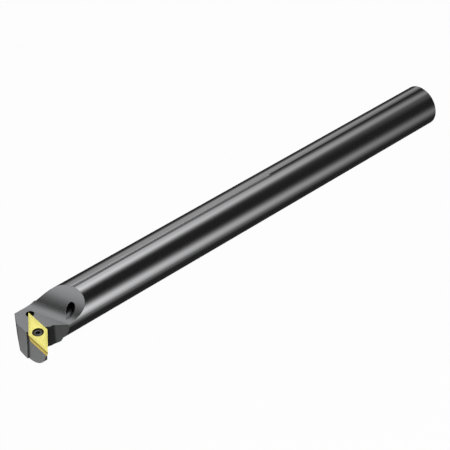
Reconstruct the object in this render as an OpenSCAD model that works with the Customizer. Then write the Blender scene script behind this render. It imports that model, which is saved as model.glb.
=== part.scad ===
// Boring bar with a clamped 35 degree insert and an inner coolant channel.
// The bar lies along X with its head at low X, and the XY plane is the centre height of the work.
// Each piece is set out with x = 0 at the cutting tip and its top square to Z. It is then tilted
// for the rake and moved, so that the origin lies on the bar axis, where the round shank begins.

/* [Shank] */
// Diameter of the round shank
shank_d = 25; // [20:1:32]
// Length from the cutting tip to the tail
bar_l = 300; // [220:5:400]
// Length of the head, from the cutting tip to where the shank is round all the way
head_l = 35; // [35:1:40]
// Chamfer round the tail
tail_chamfer = 1; // [0.4:0.1:1.6]
// Width of the fine setting line cut along the top
line_w = 1.2; // [0.6:0.1:1.6]
// Depth of the setting line
line_depth = 0.15; // [0.1:0.01:0.2]
// Where the setting line runs out, from the tip
line_end = 170; // [120:5:180]

/* [Coolant] */
// Diameter of the coolant port in the tail
port_d = 8.8; // [8:0.1:10]
// Depth of the coolant port
port_l = 16; // [12:1:24]
// Diameter of the long channel behind the port
channel_d = 7; // [6:0.5:8]
// Where the long channel ends, from the tip
channel_start = 36; // [35:0.5:37]
// Diameter of the outlet drilling that aims over the cutting tip
outlet_d = 4.6; // [3.6:0.1:4.8]

/* [Head] */
// Distance from the bar axis to the sharp corner where the two cutting edges meet
tip_reach = 21.9; // [21.4:0.1:22.2]
// Tilt of the rake plane about the bar axis, rising behind the tip
rake_tilt = 6; // [4:0.5:8]
// Angle by which the front cutting edge leans back from square
lead_lean = 0.5; // [0:0.5:3]
// Radius of the flange that backs the insert
flange_r = 18; // [17.6:0.1:18.2]
// Length of the flange before it tapers
flange_l = 6; // [5:0.5:7]
// Height of the head's top face above the bar axis
floor_z = 2; // [1.6:0.1:2.1]
// Distance of the face relief wall from the bar axis
relief_y = 7.2; // [7:0.1:7.6]
// Radius of the hollow between the top face and the ramp
ramp_r = 17; // [15:0.5:18]
// Steepness of the ramp where it meets the shank
ramp_angle = 67; // [62:1:70]
// Turn of the ramp's foot across the bar
ramp_skew = 21.5; // [19:0.5:24]

/* [Insert] */
// Diameter of the circle inscribed in the insert
insert_ic = 9.525; // [9:0.025:10]
// Thickness of the insert
insert_t = 4.76; // [4.5:0.02:4.8]
// Clearance angle of the insert's flanks
insert_clear = 7; // [5:1:7]
// Radius of the insert's corners
nose_r = 0.2; // [0.2:0.1:0.8]
// Diameter of the hole through the insert
insert_hole_d = 4.4; // [4.2:0.1:4.6]
// Diameter of the hole's mouth, at the top of its countersink
insert_mouth_d = 6; // [5.6:0.1:6.2]
// Width of the flat land along the cutting edges
edge_land = 0.3; // [0.2:0.05:0.5]
// Depth of the chip groove inside the land
chip_depth = 0.16; // [0.1:0.02:0.2]

/* [Screw] */
// Diameter of the insert screw's thread
screw_d = 3.5; // [3.3:0.1:3.7]
// Diameter of the screw's countersunk head
screw_head_d = 5.2; // [5:0.1:5.4]
// Length of the screw below its head
screw_l = 9; // [8:0.5:10]
// Depth of the six-lobed socket
socket_depth = 1.6; // [1.2:0.1:1.8]

/* [Hidden] */
round_fn = 128;
edge_fn = 32;
eps = 0.01;
shank_r = shank_d / 2;
// Sharp angle of the insert, which its standard shape fixes
insert_angle = 35;
// The head is set out square to the rake plane, so the tip is moved into that turned frame
tip_y = -tip_reach * cos(rake_tilt);
tip_z = tip_reach * sin(rake_tilt);
// The insert's side follows from its inscribed circle
insert_side = insert_ic / sin(insert_angle);
seat_z = tip_z - insert_t;
flank_in = insert_t * tan(insert_clear);
// The collar stands a little proud of the shank, and its back is milled off with the flange's
collar_r = 13.5;
collar_l = 16.3;
// Front face of the head, with its corner cut back on the side away from the tip
front_x = 0.5;
front_half = 5.6;
corner_angle = 27;
back_y = 12.6;
// The front steps back under the insert, at a step that leans out as it goes down
recess = 0.7;
step_y = -2.95;
step_lean = 6;
// Far side of the slot that clears the insert's front corner
slot_y = -2.65;
// Relief wall behind the insert, and the flare that leads it out to the shank
wall_x = 13.5;
flare_angle = 39;
// How far the nose stands back from the insert's side flank, and its end from the sharp corner
flank_back = 0.8;
nose_back = 3.8;
// Where the ramp's hollow starts, square to its foot
ramp_foot = 14.1;
// Point on the outlet's axis at the ramp's foot, and the height at which it passes over the tip
outlet_at = [27, -5.4, 4.1];
outlet_over = 5.6;
// The screw is turned down through the middle of the insert
centre = mid(tip(), far_corner());
// The countersink and the screw head that sits in it share one cone
cone_half_angle = 20;

// Height at which the shared cone has a diameter
function cone_z(d) = tip_z - (insert_mouth_d - d) / 2 / tan(cone_half_angle);
function mid(a, b) = (a + b) / 2;
function polar(length, angle) = [length * sin(angle), length * cos(angle)];
function tip() = [0, tip_y];
function front_corner() = tip() + polar(insert_side, lead_lean);
function side_corner() = tip() + polar(insert_side, lead_lean + insert_angle);
function far_corner() = front_corner() + side_corner() - tip();

// Tilts a piece for the rake and moves it to the part's own origin
module in_place() {
    translate([-head_l, 0, 0])
        rotate([rake_tilt, 0, 0])
            children();
}

// Round bar along X between two stations, with its own radius at each
module along_x(x0, x1, r0, r1, z = 0) {
    translate([x0, 0, z])
        rotate([0, 90, 0])
            cylinder(h = x1 - x0, r1 = r0, r2 = r1, $fn = round_fn);
}

// Outline of the insert, drawn in by a margin on every side, with rounded corners
module insert_outline(margin, r) {
    inner = insert_ic - 2 * margin - 2 * r;
    side = inner / sin(insert_angle);
    half_long = side * cos(insert_angle / 2);
    half_short = side * sin(insert_angle / 2);
    translate(centre)
        rotate(-lead_lean - insert_angle / 2)
            hull() {
                for (s = [-1, 1]) {
                    translate([0, s * half_long])
                        circle(r = r, $fn = edge_fn);
                    translate([s * half_short, 0])
                        circle(r = r, $fn = edge_fn);
                }
            }
}

// Body between the insert's flanks, from the seat up to a height above the cutting edges
module flank_body(above) {
    hull() {
        translate([0, 0, tip_z + above - eps])
            linear_extrude(eps)
                insert_outline(-above * tan(insert_clear), nose_r);
        translate([0, 0, seat_z])
            linear_extrude(eps)
                insert_outline(flank_in, nose_r);
    }
}

// Plan of the head, apart from the nose under the insert, which its own planes cut
module head_plan() {
    wall_run = 4;
    flare_run = 8;
    flare_end = -relief_y - flare_run * tan(flare_angle);
    clear = 30;
    behind = 60;
    polygon([
        [front_x - front_half * tan(lead_lean), -clear],
        [wall_x - wall_run, -clear],
        [wall_x - wall_run, -relief_y],
        [wall_x, -relief_y],
        [wall_x + flare_run, flare_end],
        [behind, flare_end],
        [behind, back_y],
        [front_x + (back_y - front_half) * tan(corner_angle), back_y],
        [front_x, front_half],
        [front_x - front_half * tan(lead_lean), -front_half]
    ]);
}

// All that lies outside the plan of the head
module plan_cut() {
    translate([0, 0, -30])
        linear_extrude(60)
            difference() {
                translate([-5, -40])
                    square([45, 80]);
                head_plan();
            }
}

// Front and side of the nose under the insert, and the small flat at its end
module nose_cut() {
    deep = 30;
    translate([front_x + recess - 10, 0, 0])
        rotate([90, 0, 90])
            linear_extrude(10)
                polygon([
                    [-deep, deep],
                    [step_y - deep * tan(step_lean), deep],
                    [step_y + deep * tan(step_lean), -deep],
                    [-deep, -deep]
                ]);
    translate([0, tip_y, 0])
        rotate([0, 0, -lead_lean - insert_angle])
            translate([-flank_in - flank_back, -10, -deep])
                cube([20, insert_side + 12.2, 2 * deep]);
    translate([0, tip_y, 0])
        rotate([0, 0, -lead_lean - insert_angle / 2])
            translate([-10, nose_back - 20, -deep])
                cube([20, 20, 2 * deep]);
}

// Solid of the bar before it is milled: the ground shank, with the collar and flange in front
module blank() {
    collar_chamfer = 1.5;
    taper_l = 4;
    along_x(0, bar_l - tail_chamfer, shank_r, shank_r);
    along_x(bar_l - tail_chamfer, bar_l, shank_r, shank_r - tail_chamfer);
    along_x(0.1, collar_l, collar_r, collar_r);
    along_x(collar_l, collar_l + collar_chamfer, collar_r, collar_r - collar_chamfer);
    along_x(0.2, flange_l, flange_r, flange_r);
    along_x(flange_l, flange_l + taper_l, flange_r, collar_r);
}

// Space above the head: a level floor, a hollow of ramp_r, then the straight ramp to the top
module top_cut() {
    rise = ramp_r * (1 - cos(ramp_angle));
    run = ramp_r * sin(ramp_angle);
    high = 30;
    sink = 0.02;
    rotate([0, 0, ramp_skew])
        translate([ramp_foot, 40, floor_z]) {
            rotate([90, 0, 0])
                linear_extrude(80)
                    polygon([
                        [-60, 0],
                        [0, 0],
                        [0, ramp_r],
                        [run + sink, rise],
                        [run + sink + (high - rise) / tan(ramp_angle), high],
                        [-60, high]
                    ]);
            translate([0, 0, ramp_r - sink])
                rotate([90, 0, 0])
                    cylinder(h = 80, r = ramp_r, $fn = round_fn);
        }
}

// Pocket that the insert is seated in: two clamping walls and relief at the corners
module insert_pocket() {
    flank_body(3);
    // Round relief for the insert's far corner
    translate([far_corner()[0] + 0.1, far_corner()[1] - 1.3, seat_z - 0.4])
        cylinder(h = 20, r = 2.2, $fn = 48);
    // Slot beside the front corner, so that the corner stands clear
    translate([-1, front_corner()[1] - 0.3, seat_z - 0.2])
        cube([2.4, slot_y - front_corner()[1] + 0.3, 20]);
    // The two cutting sides are open
    translate([0, 0, seat_z])
        linear_extrude(20)
            polygon([
                front_corner() + [1, -0.4],
                front_corner() - [6, 0.4],
                tip() - [6, 8],
                side_corner() + [4, -8],
                side_corner() + [4, 0.4],
                side_corner() + [-0.8, 0.4]
            ]);
}

// Coolant ways: port in the tail and the long channel
module coolant_ways() {
    drill_tip = channel_d / 3.5;
    along_x(bar_l - port_l, bar_l + 1, port_d / 2, port_d / 2);
    along_x(bar_l - 0.8, bar_l + 0.2, port_d / 2, port_d / 2 + 1);
    along_x(channel_start, bar_l - port_l + 1, channel_d / 2, channel_d / 2);
    along_x(channel_start - drill_tip, channel_start + eps, 0.1, channel_d / 2);
}

// Slanted drilling from the channel, out through the ramp's foot and over the cutting tip, whose
// lower side runs on as a groove in the top face
module coolant_outlet() {
    to_tip = [outlet_at[0], outlet_at[1] - tip_y];
    rise = atan((outlet_over - outlet_at[2]) / norm(to_tip));
    ahead = 16;
    behind = 13.6;
    translate(outlet_at)
        rotate([0, 0, atan2(to_tip[1], to_tip[0])])
            rotate([0, 90 + rise, 0])
                translate([0, 0, -ahead])
                    cylinder(h = ahead + behind, d = outlet_d, $fn = 64);
}

// Fine line cut along the top by a round tool, which lifts out at its end
module setting_line() {
    cut_r = (line_w * line_w / 4 + line_depth * line_depth) / (2 * line_depth);
    line_z = shank_r + cut_r - line_depth;
    along_x(20, line_end, cut_r, cut_r, line_z);
    along_x(line_end - eps, line_end + 4, cut_r, cut_r - 1.5 * line_depth, line_z);
}

module bar() {
    color("dimgray")
        in_place()
            difference() {
                blank();
                plan_cut();
                nose_cut();
                top_cut();
                insert_pocket();
                translate([centre[0], centre[1], seat_z - screw_l - 1])
                    cylinder(h = 30, d = screw_d, $fn = 48);
                coolant_ways();
                coolant_outlet();
                setting_line();
            }
}

// The shared cone between two of its diameters
module screw_cone(d_low, d_high) {
    translate([centre[0], centre[1], cone_z(d_low)])
        cylinder(h = cone_z(d_high) - cone_z(d_low), d1 = d_low, d2 = d_high, $fn = 64);
}

module insert() {
    color("gold")
        in_place()
            difference() {
                flank_body(0);
                // Chip groove between the edge land and the plateau
                translate([0, 0, tip_z - chip_depth])
                    linear_extrude(1)
                        difference() {
                            insert_outline(edge_land, nose_r / 2);
                            insert_outline(edge_land + 1.1, nose_r / 2);
                        }
                translate([centre[0], centre[1], seat_z - 1])
                    cylinder(h = 10, d = insert_hole_d, $fn = 64);
                // Countersink that the screw pulls down on
                screw_cone(insert_hole_d - 0.4, insert_mouth_d + 0.4);
            }
}

// Section of the six-lobed socket: a round core with six round lobes
module socket_outline() {
    core = 0.42 * screw_head_d / 2;
    circle(r = core, $fn = 48);
    for (i = [0:5])
        rotate(60 * i)
            translate([core, 0])
                circle(r = core * 0.36, $fn = 24);
}

module insert_screw() {
    head_z = cone_z(screw_head_d);
    color("dimgray")
        in_place()
            difference() {
                union() {
                    screw_cone(screw_d, screw_head_d);
                    translate([centre[0], centre[1], head_z - screw_l])
                        cylinder(h = screw_l - 0.5, d = screw_d, $fn = 48);
                }
                translate([centre[0], centre[1], head_z - socket_depth])
                    linear_extrude(5)
                        socket_outline();
            }
}

bar();
insert();
insert_screw();
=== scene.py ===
import math

import bmesh
import bpy
import numpy as np
from mathutils import Matrix, Vector


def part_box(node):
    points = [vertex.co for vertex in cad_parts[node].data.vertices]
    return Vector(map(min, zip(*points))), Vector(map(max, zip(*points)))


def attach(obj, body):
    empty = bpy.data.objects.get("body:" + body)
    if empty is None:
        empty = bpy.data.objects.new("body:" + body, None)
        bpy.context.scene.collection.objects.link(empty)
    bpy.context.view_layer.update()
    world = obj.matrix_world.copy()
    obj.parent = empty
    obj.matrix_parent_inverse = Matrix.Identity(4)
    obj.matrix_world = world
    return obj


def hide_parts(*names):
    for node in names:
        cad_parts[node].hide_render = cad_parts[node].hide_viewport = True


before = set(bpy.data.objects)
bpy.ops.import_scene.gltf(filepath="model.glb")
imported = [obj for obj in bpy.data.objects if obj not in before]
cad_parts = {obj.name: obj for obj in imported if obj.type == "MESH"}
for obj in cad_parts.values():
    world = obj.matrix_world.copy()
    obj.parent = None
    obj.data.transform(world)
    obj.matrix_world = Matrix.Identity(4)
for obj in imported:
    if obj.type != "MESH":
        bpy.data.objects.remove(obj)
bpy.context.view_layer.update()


# The camera
# The picture is taken from in front of the head and above it, with a long lens, so that the
# bar runs from the lower left to the upper right.

MM = 0.001
HEAD_LENGTH = 35 * MM
RAKE = math.radians(6)
# The head is set out square to its rake face, and then turned by the rake about the bar's axis
HEAD = Matrix.Translation((-HEAD_LENGTH, 0, 0)) @ Matrix.Rotation(RAKE, 4, "X")

# The camera's place and turn, given in the head's own frame
CAMERA_PLACE = Vector((-264.406, -448.684, 501.42)) * MM
CAMERA_AZIMUTH = math.radians(-41.8656)
CAMERA_ELEVATION = math.radians(40.0956)
FOCAL_PIXELS = 1408.07
IMAGE_SIZE = 450
SENSOR_WIDTH = 36
# Nothing nearer or farther than these, in metres, is drawn
NEAR_CLIP = 0.01
FAR_CLIP = 20


def camera_turn(azimuth, elevation):
    """Rotation of a level camera: its side is (cos a, sin a, 0), and its back points up by the elevation."""
    side = Vector((math.cos(azimuth), math.sin(azimuth), 0))
    level = Vector((math.sin(azimuth), -math.cos(azimuth), 0))
    back = level * math.cos(elevation) + Vector((0, 0, math.sin(elevation)))
    return Matrix((side, back.cross(side), back)).transposed().to_4x4()


camera_data = bpy.data.cameras.new("camera")
camera_data.sensor_width = SENSOR_WIDTH
camera_data.lens = FOCAL_PIXELS / IMAGE_SIZE * SENSOR_WIDTH
camera_data.clip_start = NEAR_CLIP
camera_data.clip_end = FAR_CLIP
camera = bpy.data.objects.new("camera", camera_data)
bpy.context.scene.collection.objects.link(camera)
camera.matrix_world = HEAD @ Matrix.Translation(CAMERA_PLACE) @ camera_turn(CAMERA_AZIMUTH, CAMERA_ELEVATION)
bpy.context.scene.camera = camera


# The studio
# A pale floor below the bar and a white surround, which the camera and the metal see. One sheet
# bent round the bar's axis carries the soft boxes, and two cards close the gap below it.

WHITE = (1, 1, 1, 1)
# The surround's level as soft light, where what is seen of it is white
AMBIENT = 0.6
# The floor's paint takes the shadow, and this share of it glows white where it is seen
FLOOR_PAINT = (0.9, 0.9, 0.9, 1)
FLOOR_GLOW = 0.95
# The floor's depth below the bar's axis and half its width, in metres
FLOOR_BELOW = 1.5
FLOOR_HALF = 8
# Where the Mix node keeps its colour sockets
MIX_FACTOR, MIX_LOW, MIX_HIGH, MIX_RESULT = 0, 6, 7, 2


class Shade:
    """Wraps a shader socket, so that an expression on values adds its Math nodes."""

    def __init__(self, tree, socket):
        self.tree = tree
        self.socket = socket

    def node(self, kind, settings=None, inputs=None, output=0):
        """Adds a node of a kind, with its settings first and then the values or links of its sockets."""
        made = self.tree.nodes.new(kind)
        for name, value in (settings or {}).items():
            setattr(made, name, value)
        for name, value in (inputs or {}).items():
            if isinstance(value, Shade):
                self.tree.links.new(value.socket, made.inputs[name])
            else:
                made.inputs[name].default_value = value
        return Shade(self.tree, made.outputs[output] if made.outputs else None)

    def beside(self, output):
        """Another output of the node that this socket belongs to."""
        return Shade(self.tree, self.socket.node.outputs[output])

    def maths(self, operation, *values):
        """A Math node on numbers."""
        return self.node("ShaderNodeMath", {"operation": operation}, dict(enumerate(values)))

    def vector(self, operation, *values, output=0):
        """A Vector Math node on vectors."""
        return self.node("ShaderNodeVectorMath", {"operation": operation}, dict(enumerate(values)), output)

    def mixed(self, factor, low, high):
        """A colour between two, by a factor from 0 to 1."""
        inputs = {MIX_FACTOR: factor, MIX_LOW: low, MIX_HIGH: high}
        return self.node("ShaderNodeMix", {"data_type": "RGBA"}, inputs, output=MIX_RESULT)

    def ramp(self, low, high):
        """0 below the low value, 1 above the high one, and smooth between."""
        return self.node(
            "ShaderNodeMapRange",
            {"interpolation_type": "SMOOTHSTEP"},
            {"Value": self, "From Min": low, "From Max": high},
        )

    def __add__(self, other):
        return self.maths("ADD", self, other)

    def __sub__(self, other):
        return self.maths("SUBTRACT", self, other)

    def __mul__(self, other):
        return self.maths("MULTIPLY", self, other)

    def __radd__(self, other):
        return self.maths("ADD", other, self)

    def __rsub__(self, other):
        return self.maths("SUBTRACT", other, self)

    def __rmul__(self, other):
        return self.maths("MULTIPLY", other, self)


def start_material(name):
    """A new material with no nodes, and a Shade to add its nodes from."""
    made = bpy.data.materials.new(name)
    made.use_nodes = True
    made.node_tree.nodes.clear()
    return made, Shade(made.node_tree, None)


def seen_white(shade):
    """1 for rays from the camera and for reflected or refracted ones, else 0."""
    ray = shade.node("ShaderNodeLightPath", output="Is Camera Ray")
    seen = ray + ray.beside("Is Glossy Ray") + ray.beside("Is Transmission Ray")
    return shade.maths("MINIMUM", seen, 1)


def add_grid(name, points, closed_u=False, closed_v=False):
    """A mesh object from a grid of points (rows, columns, 3), with a quad in each cell.

    Where it is closed, the last row or column is joined to the first.
    """
    rows, columns = points.shape[:2]
    index = np.arange(rows * columns).reshape(rows, columns)
    if closed_u:
        index = np.vstack([index, index[:1]])
    if closed_v:
        index = np.hstack([index, index[:, :1]])
    quads = np.stack([index[:-1, :-1], index[1:, :-1], index[1:, 1:], index[:-1, 1:]], axis=-1)
    mesh = bpy.data.meshes.new(name)
    mesh.from_pydata(points.reshape(-1, 3), [], quads.reshape(-1, 4).tolist())
    made = bpy.data.objects.new(name, mesh)
    bpy.context.scene.collection.objects.link(made)
    return made


world = bpy.data.worlds.new("surround")
bpy.context.scene.world = world
world.use_nodes = True
world.node_tree.nodes.clear()
surround = Shade(world.node_tree, None)
surround_light = surround.node(
    "ShaderNodeBackground",
    inputs={"Color": WHITE, "Strength": AMBIENT + (1 - AMBIENT) * seen_white(surround)},
)
surround.node("ShaderNodeOutputWorld", inputs={"Surface": surround_light})

floor_x, floor_y = np.meshgrid([-FLOOR_HALF, FLOOR_HALF], [-FLOOR_HALF, FLOOR_HALF], indexing="ij")
floor = add_grid("floor", np.stack([floor_x, floor_y, np.full(floor_x.shape, -FLOOR_BELOW)], axis=-1))
floor_white, shade = start_material("floor_white")
paint = shade.node("ShaderNodeBsdfDiffuse", inputs={"Color": FLOOR_PAINT})
glow = shade.node("ShaderNodeEmission", inputs={"Color": WHITE, "Strength": 1})
floor_mix = shade.node("ShaderNodeMixShader", inputs={0: FLOOR_GLOW * seen_white(shade), 1: paint, 2: glow})
shade.node("ShaderNodeOutputMaterial", inputs={"Surface": floor_mix})
floor.data.materials.append(floor_white)

# The sheets' first and last angles in degrees round the bar's axis, their stations along it and
# their distances from it in metres, and the steps that they are divided into
LAMP_ANGLES = (-40, 262)
CARD_ANGLES = (262, 320)
STUDIO_ENDS = (-2.4, 6)
CARD_JOINT = -0.2
LAMP_DISTANCE = 1.1
CARD_DISTANCE = 1.3
ANGLE_STEPS = 303
STATION_STEPS = 337

DARK_CARD = 0.035
GREY_CARD = 0.55
BASE_GLOW = 0.035
# Each soft box has its middle angle, a spread on either side, a strength, its brightest station,
# how it fades on either side of that, and its slant in degrees a metre
SOFT_BOXES = {
    "above": (91, (18, 17), 2.25, 0.3, (0.14, 0.45), 0),
    "behind_broad": (26, (15, 15), 0.85, 0.72, (0.3, 0.75), 0),
    "behind_narrow": (44, (9, 7), 0.78, 0.7, (0.25, 0.24), 0),
    "above_tail": (116, (8, 16), 0.22, 1.4, (0.2, 1.5), 0),
    "over_top_face": (55, (22, 20), 1.0, 0.37, (0.16, 0.06), 0),
    "over_hollow_lip": (66, (12, 14), 0.6, 0.09, (0.05, 0.12), 0),
    "front": (188, (22, 27), 2.75, 0.1, (0.4, 0.42), 14),
    "beside_head": (238, (22, 22), 0.22, -0.8, (0.9, 0.3), 0),
}
# The pale glow beyond the head: its middle angle, its spreads, the station where it starts, and
# the length over which it rises
PALE_ANGLE = 72
PALE_SPREADS = (50, 40)
PALE_START = -0.28
PALE_LENGTH = 1.3


def bell(offset, low, high):
    """A bell curve exp(-t^2), with its own spread on each side, brought to nothing at two spreads."""
    t = offset / np.where(offset < 0, low, high)
    return np.exp(-(t**2)) * np.clip(1 - (t / 2) ** 2, 0, None)


def fade(offset, low, high):
    """1 / cosh of the offset over its own length on each side, which falls off evenly far out."""
    return 1 / np.cosh(offset / np.where(offset < 0, low, high))


def soft_boxes(angle, along):
    """The lamp sheet's glow: a low base, the pale end, and a box for each band of light on the steel.

    A box is its strength times the bell of the angle from its middle and the fade along the bar.
    """
    pale_end = bell(angle - PALE_ANGLE, *PALE_SPREADS) * np.clip((PALE_START - along) / PALE_LENGTH, 0, 1)
    return BASE_GLOW + pale_end + sum(
        strength * bell(angle - middle - slant * (along - bright), *spreads) * fade(along - bright, *fades)
        for middle, spreads, strength, bright, fades, slant in SOFT_BOXES.values()
    )


def one_grey(level):
    """A card's glow: the same grey all over."""
    return lambda angle, along: np.full_like(angle, level)


def glowing_sheet(name, angles, stations, distance, glow_at):
    """A stage sheet bent round the bar's axis: at angle a and station x it is (x, r cos a, r sin a).

    Reflections see its glow, a function of the angle and the station. To soft light it gives the
    surround's level besides, because it stands in the surround's way.
    """
    angle, along = np.meshgrid(
        np.radians(np.linspace(*angles, ANGLE_STEPS)), np.linspace(*stations, STATION_STEPS), indexing="ij"
    )
    sheet = add_grid(name, np.stack([along, distance * np.cos(angle), distance * np.sin(angle)], axis=-1))
    sheet.visible_camera = False
    sheet.visible_shadow = False
    sheet.visible_transmission = False
    layer = sheet.data.attributes.new("glow", "FLOAT", "POINT")
    layer.data.foreach_set("value", glow_at(np.degrees(angle), along).astype(np.float32).ravel())
    made, shade = start_material(name)
    glow = shade.node("ShaderNodeAttribute", {"attribute_name": "glow"}, output="Fac")
    strength = glow + AMBIENT * (1 - seen_white(shade))
    light = shade.node("ShaderNodeEmission", inputs={"Color": WHITE, "Strength": strength})
    shade.node("ShaderNodeOutputMaterial", inputs={"Surface": light})
    sheet.data.materials.append(made)
    return sheet


glowing_sheet("lamp_ring", LAMP_ANGLES, STUDIO_ENDS, LAMP_DISTANCE, soft_boxes)
cards = {
    "card_below": ((CARD_JOINT, STUDIO_ENDS[1]), DARK_CARD),
    "card_below_front": ((STUDIO_ENDS[0], CARD_JOINT), GREY_CARD),
}
for name, (stations, level) in cards.items():
    card = glowing_sheet(name, CARD_ANGLES, stations, CARD_DISTANCE, one_grey(level))
    card.visible_diffuse = False


# The bar
# One piece of alloy steel: the shank is ground round, the head is milled, and the whole is
# blackened. The skin is smooth on the shank and dull on the milled faces, and thin on the edges.

STEEL_GROUND = (0.3, 0.3, 0.305, 1)
STEEL_MILLED = (0.28, 0.282, 0.288, 1)
STEEL_WORN = (0.46, 0.46, 0.46, 1)
# Near black for the painted shade in the corner behind the insert
STEEL_PAINTED_SHADE = (0.01, 0.01, 0.01, 1)
GROUND_ROUGH = 0.13
MILLED_ROUGH = 0.28
SHANK_RADIUS = 12.5 * MM
# Each of these pairs is a soft edge: nothing up to the first value, and all from the second on
GROUND_RADIUS = (SHANK_RADIUS - 0.12 * MM, SHANK_RADIUS - 0.06 * MM)
GROUND_START = (-17 * MM, -16 * MM)
# The corner behind the insert where near black is painted in as shade, along the bar and then in the head's
# own y and z
PAINTED_SHADE_X_START = (-25.2 * MM, -24.8 * MM)
PAINTED_SHADE_X_END = (-18 * MM, -17 * MM)
PAINTED_SHADE_Y_START = (-8.4 * MM, -7.3 * MM)
PAINTED_SHADE_Y_END = (-5.6 * MM, -5.4 * MM)
PAINTED_SHADE_Z_END = (1.8 * MM, 1.95 * MM)
# Wear shows where an edge bends the surface, in patches of the cloudy noise
WEAR_BEND = (0.015, 0.16)
WEAR_PATCHES = (0.3, 0.62)
EDGE_WEAR_WIDTH = 0.22 * MM
BEVEL_SAMPLES = 6

# The lumps a metre of each noise. The grinding marks are drawn out into rings round the bar
SKIN_GRAIN = 1600
SKIN_CLOUDS = 90
GRINDING_MARKS = 2600
GRINDING_STRETCH = (1, 0.02, 0.02)
# The arcs of the face mill: their centre, their step, and their share of the milled marks
CUTTER_CENTRE = (8 * MM, -34 * MM, 0)
CUTTER_STEP = 0.4 * MM
CUTTER_SHARE = 0.35
# Blender's wave rings are this far apart at a scale of 1
WAVE_PERIOD = math.tau / 20
MARK_DEPTH = 0.02 * MM
MARK_STRENGTH = 0.25

# How far each mask shows in the colour, and what it adds to the roughness, where a noise counts
# from its middle
PAINTED_SHADE_SHARE = 0.9
CLOUD_SHARE = 0.3
WEAR_SHARE = 0.55
CLOUD_ROUGH = 0.04
MARK_ROUGH = 0.04
WEAR_ROUGH = 0.05
NOISE_MIDDLE = 0.5


def noise(place, scale, detail):
    """A noise between 0 and 1 with about this many lumps a metre."""
    return place.node("ShaderNodeTexNoise", inputs={"Vector": place, "Scale": scale, "Detail": detail})


def rounded(shade, width):
    """The surface's normal, with the edges rounded over a width."""
    return shade.node("ShaderNodeBevel", {"samples": BEVEL_SAMPLES}, {"Radius": width})


def raised(height, strength, depth, normal):
    """A normal tilted by marks, whose height from 0 to 1 stands for a depth."""
    inputs = {"Strength": strength, "Distance": depth, "Height": height, "Normal": normal}
    return height.node("ShaderNodeBump", inputs=inputs)


def between(value, start, end):
    """1 between two soft edges, and 0 outside them."""
    return value.ramp(*start) * (1 - value.ramp(*end))


steel, shade = start_material("black_oxide_steel")
place = shade.node("ShaderNodeTexCoord", output="Object")
station = shade.node("ShaderNodeSeparateXYZ", inputs={"Vector": place})
across, up = station.beside("Y"), station.beside("Z")
from_axis = shade.maths("SQRT", across * across + up * up)
ground = from_axis.ramp(*GROUND_RADIUS) * station.ramp(*GROUND_START)

grain = noise(place, SKIN_GRAIN, detail=4)
cloud = noise(place, SKIN_CLOUDS, detail=3)
rings = noise(shade.vector("MULTIPLY", place, GRINDING_STRETCH), GRINDING_MARKS, detail=3)
cutter = shade.node(
    "ShaderNodeTexWave",
    {"wave_type": "RINGS", "rings_direction": "Z"},
    {
        "Vector": shade.vector("SUBTRACT", place, CUTTER_CENTRE),
        "Scale": WAVE_PERIOD / CUTTER_STEP,
        "Distortion": 1.5,
        "Detail": 1,
        "Detail Scale": 0.4,
    },
    output="Fac",
)
marks = ground * rings + (1 - ground) * (CUTTER_SHARE * cutter + (1 - CUTTER_SHARE) * grain)

edges = rounded(shade, EDGE_WEAR_WIDTH)
true_face = shade.node("ShaderNodeNewGeometry", output="True Normal")
bend = 1 - shade.vector("DOT_PRODUCT", edges, true_face, output="Value")
wear = bend.ramp(*WEAR_BEND) * cloud.ramp(*WEAR_PATCHES)

head_y = across * math.cos(RAKE) + up * math.sin(RAKE)
head_z = up * math.cos(RAKE) - across * math.sin(RAKE)
# Painted shade: near black painted into the steel's colour in the corner behind the insert
painted_shade = between(head_y, PAINTED_SHADE_Y_START, PAINTED_SHADE_Y_END)
painted_shade = painted_shade * between(station, PAINTED_SHADE_X_START, PAINTED_SHADE_X_END)
painted_shade = painted_shade * (1 - head_z.ramp(*PAINTED_SHADE_Z_END))

tone = shade.mixed(ground, STEEL_MILLED, STEEL_GROUND)
tone = shade.mixed(PAINTED_SHADE_SHARE * painted_shade, tone, STEEL_PAINTED_SHADE)
tone = shade.mixed(CLOUD_SHARE * cloud, tone, STEEL_MILLED)
tone = shade.mixed(WEAR_SHARE * wear, tone, STEEL_WORN)
rough = ground * (GROUND_ROUGH - MILLED_ROUGH) + MILLED_ROUGH
rough = rough + CLOUD_ROUGH * (cloud - NOISE_MIDDLE) + MARK_ROUGH * (marks - NOISE_MIDDLE)
rough = rough + WEAR_ROUGH * wear
skin = shade.node(
    "ShaderNodeBsdfPrincipled",
    inputs={
        "Base Color": tone,
        "Metallic": 1,
        "Roughness": rough,
        "Normal": raised(marks, MARK_STRENGTH, MARK_DEPTH, edges),
    },
)
shade.node("ShaderNodeOutputMaterial", inputs={"Surface": skin})
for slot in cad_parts["bar"].material_slots:
    slot.material = steel


# The thread of the coolant port
# Cut into the wall of the port in the tail, for a hose fitting. It is part of the bar, so it
# takes the bar's steel.

BAR_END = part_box("bar")[1][0]
PORT_RADIUS = 4.4 * MM
THREAD_START = 0.4 * MM
THREAD_LENGTH = 12 * MM
PORT_PITCH = 0.907 * MM
PORT_THREAD_DEPTH = 0.4 * MM
# The sleeve laps the wall by this much on either side, so that no gap shows
WALL_LAP = 0.02 * MM
PORT_ROWS = 161
ROUND_STEPS = 96
# The thread's ridge is made this much steeper and lowered this far, and then cut flat at 0 and 1
RIDGE_GAIN = 1.35
ROOT_CUT = 0.17
# Points nearer to each other than this are one
DOUBLED_WITHIN = 0.001 * MM


def thread_form(turns):
    """Height from 0 to 1 of a thread by the turns passed: a triangle wave, cut flat at root and crest."""
    ridge = 1 - np.abs(2 * (turns % 1) - 1)
    return np.clip(RIDGE_GAIN * ridge - ROOT_CUT, 0, 1)


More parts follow.
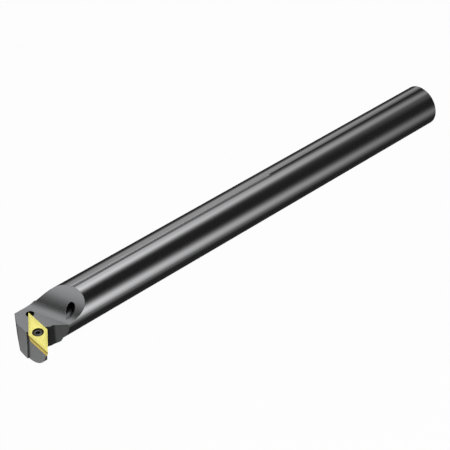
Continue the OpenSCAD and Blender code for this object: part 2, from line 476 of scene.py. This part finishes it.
def finish_faces(piece, sharp_angle):
    """Merges doubled points, turns the faces outwards and smooths all but the sharp edges."""
    shape = bmesh.new()
    shape.from_mesh(piece.data)
    bmesh.ops.remove_doubles(shape, verts=shape.verts, dist=DOUBLED_WITHIN)
    bmesh.ops.recalc_face_normals(shape, faces=shape.faces)
    shape.to_mesh(piece.data)
    shape.free()
    piece.data.shade_smooth()
    piece.data.set_sharp_from_angle(angle=math.radians(sharp_angle))


def port_thread():
    """A closed sleeve: its outside is the port's wall, and its inside rises by the thread's height.

    The height follows the turns x / pitch - angle / tau, and runs out at both ends.
    """
    along = np.linspace(0, THREAD_LENGTH, PORT_ROWS)[:, None]
    angle = np.linspace(0, math.tau, ROUND_STEPS, endpoint=False)[None, :]
    run_out = np.clip(np.minimum(along, THREAD_LENGTH - along) / PORT_PITCH, 0, 1)
    height = PORT_THREAD_DEPTH * run_out * thread_form(along / PORT_PITCH - angle / math.tau)
    inside = PORT_RADIUS - WALL_LAP - height
    outside = np.full_like(inside, PORT_RADIUS + WALL_LAP)
    radius = np.vstack([inside, outside[::-1]])
    depth = np.vstack([along, along[::-1]])
    x = BAR_END - THREAD_START - depth + 0 * radius
    return np.stack([x, radius * np.cos(angle), radius * np.sin(angle)], axis=-1)


thread = add_grid("coolant_port_thread", port_thread(), closed_u=True, closed_v=True)
finish_faces(thread, sharp_angle=40)
thread.data.materials.append(steel)
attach(thread, "root")


# The insert
# A rhombic indexable insert of sintered carbide with a gold hard coating. Its flanks are ground
# with clearance, a chip groove runs inside the land, and the countersunk hole is left bare; its wall
# is painted near black, darker than bare carbide, as painted shade.

# Its sizes are in millimetres, in the head's own frame
TIP_REACH = 21.9
INSERT_IC = 9.525
INSERT_ANGLE = math.radians(35)
INSERT_HEIGHT = 4.76
LEAD_LEAN = math.radians(0.5)
CLEARANCE = math.radians(7)
NOSE_RADIUS = 0.2
EDGE_LAND = 0.3
GROOVE_WIDTH = 0.75
GROOVE_DEPTH = 0.14
EDGE_HONE = 0.06
SEAT_CHAMFER = 0.15
# The flank has a steep upper band down to the break, and a lower one. Narrow strips at the break
# and under the hone, each given by how far in and how high it is, keep the bands' colours apart
FLANK_BREAK = 2.1
FLANK_HIGH_CLEARANCE = math.radians(5)
BREAK_STRIP = (0.02, 0.05)
HONE_STRIP = (0.01, 0.04)
HOLE_RADIUS = 2.2
MOUTH_RADIUS = 3.0
MOUTH_DEPTH = 1.15
MOUTH_TAPER = 0.15
MOUTH_ROUND = 0.1
MOUTH_ROUND_MIDDLE = 0.03
LEDGE_FALL = 0.05
SEAT_TOP_RADIUS = 2.6
CONE = math.radians(20)
ARC_STEPS = 8
SIDE_STEPS = 12
GROOVE_STEPS = 9
QUARTER_ROUND = np.radians([0, 30, 60, 90])

GOLD_TOP = (0.98, 0.9, 0.25)
# Painted shade: the upper flank band is painted a darker gold than the lower one
GOLD_FLANK_HIGH_PAINTED_SHADE = (0.5, 0.36, 0.01)
GOLD_FLANK_LOW = (0.98, 0.72, 0.08)
GOLD_CLOUD = (0.98, 0.74, 0.08, 1)
# The hole's wall: bare carbide, painted near black as shade in the gap round the screw's head
BARE_CARBIDE_AND_PAINTED_SHADE = (0.02, 0.02, 0.02)
GOLD_METALLIC = 0.28
GOLD_ROUGH = 0.3
GOLD_CLOUD_SHARE = 0.1
GOLD_CLOUD_ROUGH = 0.08
GOLD_GRAIN_ROUGH = 0.05
GOLD_CLOUDS = 260
GOLD_GRAIN = 3200
GOLD_EDGE_WIDTH = 0.05 * MM
GRAIN_DEPTH = 0.01 * MM
GRAIN_STRENGTH = 0.2

TOP_Z = TIP_REACH * math.sin(RAKE)
SEAT_Z = TOP_Z - INSERT_HEIGHT
# The long diagonal leans from the Y axis by the lead and half the insert's angle
LONG_LEAN = LEAD_LEAN + INSERT_ANGLE / 2
HALF_LONG = INSERT_IC / math.sin(INSERT_ANGLE) * math.cos(INSERT_ANGLE / 2)
TIP = np.array([0, -TIP_REACH * math.cos(RAKE)])
CENTRE = TIP + HALF_LONG * np.array([math.sin(LONG_LEAN), math.cos(LONG_LEAN)])


def from_head(points):
    """Points given in millimetres in the head's own frame, in metres in the part's frame."""
    turn = np.array(HEAD.to_3x3())
    return points * MM @ turn.T + np.array(HEAD.translation)


def insert_ring(margin, radius):
    """A rhombus drawn in by a margin, with round corners and straight sides between them.

    Each corner's arc turns about a centre on a diagonal, which is the inner rhombus's corner.
    """
    inner = (INSERT_IC - 2 * (margin + radius)) / math.sin(INSERT_ANGLE)
    long_way = inner * math.cos(INSERT_ANGLE / 2)
    short_way = inner * math.sin(INSERT_ANGLE / 2)
    centres = np.array([[long_way, 0], [0, short_way], [-long_way, 0], [0, -short_way]])
    half_spans = np.array([math.pi - INSERT_ANGLE, INSERT_ANGLE] * 2) / 2
    middles = np.arange(4) * math.pi / 2
    turn = middles[:, None] + half_spans[:, None] * np.linspace(-1, 1, ARC_STEPS + 1)
    arcs = centres[:, None, :] + radius * np.stack([np.cos(turn), np.sin(turn)], axis=-1)
    part_way = np.linspace(0, 1, SIDE_STEPS + 1)[1:-1][None, :, None]
    side_start = arcs[:, -1:, :]
    side_end = np.roll(arcs[:, :1, :], -1, axis=0)
    sides = side_start + (side_end - side_start) * part_way
    return np.concatenate([arcs, sides], axis=1).reshape(-1, 2)


def placed(local, height):
    """Points of a ring turned to the long diagonal, moved to the insert's centre and raised."""
    along = np.array([math.sin(LONG_LEAN), math.cos(LONG_LEAN)])
    beside = np.array([-math.cos(LONG_LEAN), math.sin(LONG_LEAN)])
    flat = CENTRE + local[:, :1] * along + local[:, 1:] * beside
    return np.hstack([flat, np.full((len(local), 1), height)])


# The outer section, as margins and heights, from the seat up to the plateau inside the groove
flank_in = INSERT_HEIGHT * math.tan(CLEARANCE)
break_in = FLANK_BREAK * math.tan(FLANK_HIGH_CLEARANCE)
low_band_in = break_in + BREAK_STRIP[0]
break_z = TOP_Z - FLANK_BREAK
hone_z = TOP_Z - EDGE_HONE
across_groove = np.linspace(0, 1, GROOVE_STEPS)
groove_fall = GROOVE_DEPTH * np.sin(math.pi * across_groove) ** 2
outer_sections = [
    ([flank_in + SEAT_CHAMFER], [SEAT_Z], GOLD_FLANK_LOW),
    ([flank_in, low_band_in], [SEAT_Z + SEAT_CHAMFER, break_z - BREAK_STRIP[1]], GOLD_FLANK_LOW),
    ([break_in, HONE_STRIP[0]], [break_z, hone_z - HONE_STRIP[1]], GOLD_FLANK_HIGH_PAINTED_SHADE),
    (EDGE_HONE * (1 - np.cos(QUARTER_ROUND)), TOP_Z - EDGE_HONE * (1 - np.sin(QUARTER_ROUND)), GOLD_TOP),
    (EDGE_LAND + GROOVE_WIDTH * across_groove, TOP_Z - groove_fall, GOLD_TOP),
]
outer_rings = [
    (placed(insert_ring(margin, NOSE_RADIUS), height), colour)
    for margins, heights, colour in outer_sections
    for margin, height in zip(margins, heights)
]

# The hole's section, as radius and height, from the plateau down to the seat
mouth_foot = TOP_Z - MOUTH_DEPTH
cone_foot = mouth_foot - (SEAT_TOP_RADIUS - HOLE_RADIUS) / math.tan(CONE)
hole_sections = [
    (MOUTH_RADIUS + MOUTH_ROUND, TOP_Z, GOLD_TOP),
    (MOUTH_RADIUS + MOUTH_ROUND_MIDDLE, TOP_Z - MOUTH_ROUND_MIDDLE, GOLD_TOP),
    (MOUTH_RADIUS, TOP_Z - MOUTH_ROUND, BARE_CARBIDE_AND_PAINTED_SHADE),
    (MOUTH_RADIUS - MOUTH_TAPER, mouth_foot, BARE_CARBIDE_AND_PAINTED_SHADE),
    (SEAT_TOP_RADIUS, mouth_foot - LEDGE_FALL, BARE_CARBIDE_AND_PAINTED_SHADE),
    (HOLE_RADIUS, cone_foot, BARE_CARBIDE_AND_PAINTED_SHADE),
    (HOLE_RADIUS, SEAT_Z + SEAT_CHAMFER, BARE_CARBIDE_AND_PAINTED_SHADE),
    (HOLE_RADIUS + SEAT_CHAMFER, SEAT_Z, BARE_CARBIDE_AND_PAINTED_SHADE),
]
# The hole's points lie at the same angles as those of the plateau's edge
column_angles = np.arctan2(*insert_ring(EDGE_LAND + GROOVE_WIDTH, NOSE_RADIUS).T[::-1])
circle = np.stack([np.cos(column_angles), np.sin(column_angles)], axis=-1)
hole_rings = [(placed(radius * circle, height), colour) for radius, height, colour in hole_sections]

insert_rings = outer_rings + hole_rings
insert_points = from_head(np.stack([points for points, _ in insert_rings]))
insert = add_grid("coated_insert", insert_points, closed_u=True, closed_v=True)
tints = np.repeat([(*colour, 1) for _, colour in insert_rings], len(circle), axis=0)
layer = insert.data.attributes.new("coating", "FLOAT_COLOR", "POINT")
layer.data.foreach_set("color", tints.astype(np.float32).ravel())
finish_faces(insert, sharp_angle=25)

gold, shade = start_material("gold_coating")
place = shade.node("ShaderNodeTexCoord", output="Object")
grain = noise(place, GOLD_GRAIN, detail=3)
cloud = noise(place, GOLD_CLOUDS, detail=2)
tint = shade.node("ShaderNodeAttribute", {"attribute_name": "coating"}, output="Color")
skin = shade.node(
    "ShaderNodeBsdfPrincipled",
    inputs={
        "Base Color": shade.mixed(GOLD_CLOUD_SHARE * cloud, tint, GOLD_CLOUD),
        "Metallic": GOLD_METALLIC,
        "Roughness": GOLD_ROUGH + GOLD_CLOUD_ROUGH * cloud + GOLD_GRAIN_ROUGH * grain,
        "Normal": raised(grain, GRAIN_STRENGTH, GRAIN_DEPTH, rounded(shade, GOLD_EDGE_WIDTH)),
    },
)
shade.node("ShaderNodeOutputMaterial", inputs={"Surface": skin})
insert.data.materials.append(gold)
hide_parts("insert")
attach(insert, "root")


# The insert screw
# A small blackened screw with a six-lobed socket. Its cone pulls the insert down into the pocket,
# and its thread turns into the bar under the seat.

# Its sizes are in millimetres. The length runs down from the top of the solid's head, which lies
# this far below the insert's top face
SOLID_TOP_BELOW = 1.1
SCREW_LENGTH = 9
SCREW_RADIUS = 1.75
SCREW_PITCH = 0.6
SCREW_THREAD_DEPTH = 0.3
SCREW_ROWS = 150
# How far the foot is drawn in, and over what height
FOOT_CHAMFER = (0.35, 0.4)
# How far below the cone's foot the thread ends and the neck begins to widen
THREAD_END_BELOW = 1.2
NECK_BELOW = 0.6
NECK_CLEARANCE = 0.05
HEAD_SIDE_RADIUS = 2.27
HEAD_TOP = TOP_Z - 0.42
HEAD_ROUND = 0.25
CROWN = 0.12
CROWN_Z = HEAD_TOP + CROWN
SOCKET_RADIUS = 1.12
LOBES = 6
LOBE_HEIGHT = 0.17
SOCKET_RIM = 0.12
# The depths of the socket's rings below the crown, and the fall of its floor to the middle
SOCKET_DEPTHS = (0.14, 0.5, 1.6)
FLOOR_FALL = 0.4
SCREW_BRIGHT = (0.2, 0.195, 0.19, 1)
SCREW_DARK = (0.09, 0.087, 0.083, 1)
SCREW_PATCHES = (0.3, 0.7)
SCREW_METALLIC = 0.9
SCREW_ROUGH = 0.3
SCREW_GRAIN_ROUGH = 0.12
SCREW_GRAIN = 2600
SCREW_EDGE_WIDTH = 0.08 * MM


def screw_surface():
    """The screw from its foot up to its rim and down into its socket, closed at both ends.

    Each row is a ring of a radius at a height. In the thread the radius follows the turns
    height / pitch - angle / tau, and in the socket it is SOCKET_RADIUS + LOBE_HEIGHT cos(6 angle).
    """
    angle = np.linspace(0, math.tau, ROUND_STEPS, endpoint=False)[None, :]
    foot = TOP_Z - SOLID_TOP_BELOW - SCREW_LENGTH
    core = SCREW_RADIUS - SCREW_THREAD_DEPTH
    thread_z = np.linspace(foot + FOOT_CHAMFER[1], cone_foot - THREAD_END_BELOW, SCREW_ROWS)
    run_out = np.clip((thread_z[-1] - thread_z) / SCREW_PITCH, 0, 1)[:, None]
    turns = thread_z[:, None] / SCREW_PITCH - angle / math.tau
    thread_radius = core + SCREW_THREAD_DEPTH * run_out * thread_form(turns)

    side_foot = cone_foot + (HEAD_SIDE_RADIUS - HOLE_RADIUS) / math.tan(CONE)
    rim_radius = HEAD_SIDE_RADIUS - HEAD_ROUND * (1 - np.cos(QUARTER_ROUND))
    rim_z = HEAD_TOP - HEAD_ROUND * (1 - np.sin(QUARTER_ROUND))
    mouth = SOCKET_RADIUS + LOBE_HEIGHT + SOCKET_RIM
    head_z = [cone_foot - NECK_BELOW, cone_foot, side_foot, *rim_z, CROWN_Z]

    socket_radius = SOCKET_RADIUS + LOBE_HEIGHT * np.cos(LOBES * angle)
    socket_z = [CROWN_Z - depth for depth in SOCKET_DEPTHS]

    def round_rows(*radii):
        """A round row for each radius."""
        return np.array(radii)[:, None] + 0 * angle

    radius = np.vstack(
        [
            round_rows(0, core - FOOT_CHAMFER[0]),
            thread_radius,
            round_rows(core, HOLE_RADIUS - NECK_CLEARANCE, HEAD_SIDE_RADIUS, *rim_radius, mouth),
            np.tile(socket_radius, (len(socket_z), 1)),
            round_rows(0),
        ]
    )
    z = np.array([foot, foot, *thread_z, *head_z, *socket_z, socket_z[-1] - FLOOR_FALL])[:, None]
    x = CENTRE[0] + radius * np.cos(angle)
    y = CENTRE[1] + radius * np.sin(angle)
    return np.stack([x, y, z + 0 * radius], axis=-1)


screw = add_grid("lobed_screw", from_head(screw_surface()), closed_v=True)
finish_faces(screw, sharp_angle=35)

screw_steel, shade = start_material("screw_steel")
place = shade.node("ShaderNodeTexCoord", output="Object")
grain = noise(place, SCREW_GRAIN, detail=3)
skin = shade.node(
    "ShaderNodeBsdfPrincipled",
    inputs={
        "Base Color": shade.mixed(grain.ramp(*SCREW_PATCHES), SCREW_DARK, SCREW_BRIGHT),
        "Metallic": SCREW_METALLIC,
        "Roughness": SCREW_ROUGH + SCREW_GRAIN_ROUGH * grain,
        "Normal": raised(grain, GRAIN_STRENGTH, GRAIN_DEPTH, rounded(shade, SCREW_EDGE_WIDTH)),
    },
)
shade.node("ShaderNodeOutputMaterial", inputs={"Surface": skin})
screw.data.materials.append(screw_steel)
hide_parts("insert_screw")
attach(screw, "root")


# The colour view
# Colours are shown as they are written.

bpy.context.scene.view_settings.view_transform = "Standard"
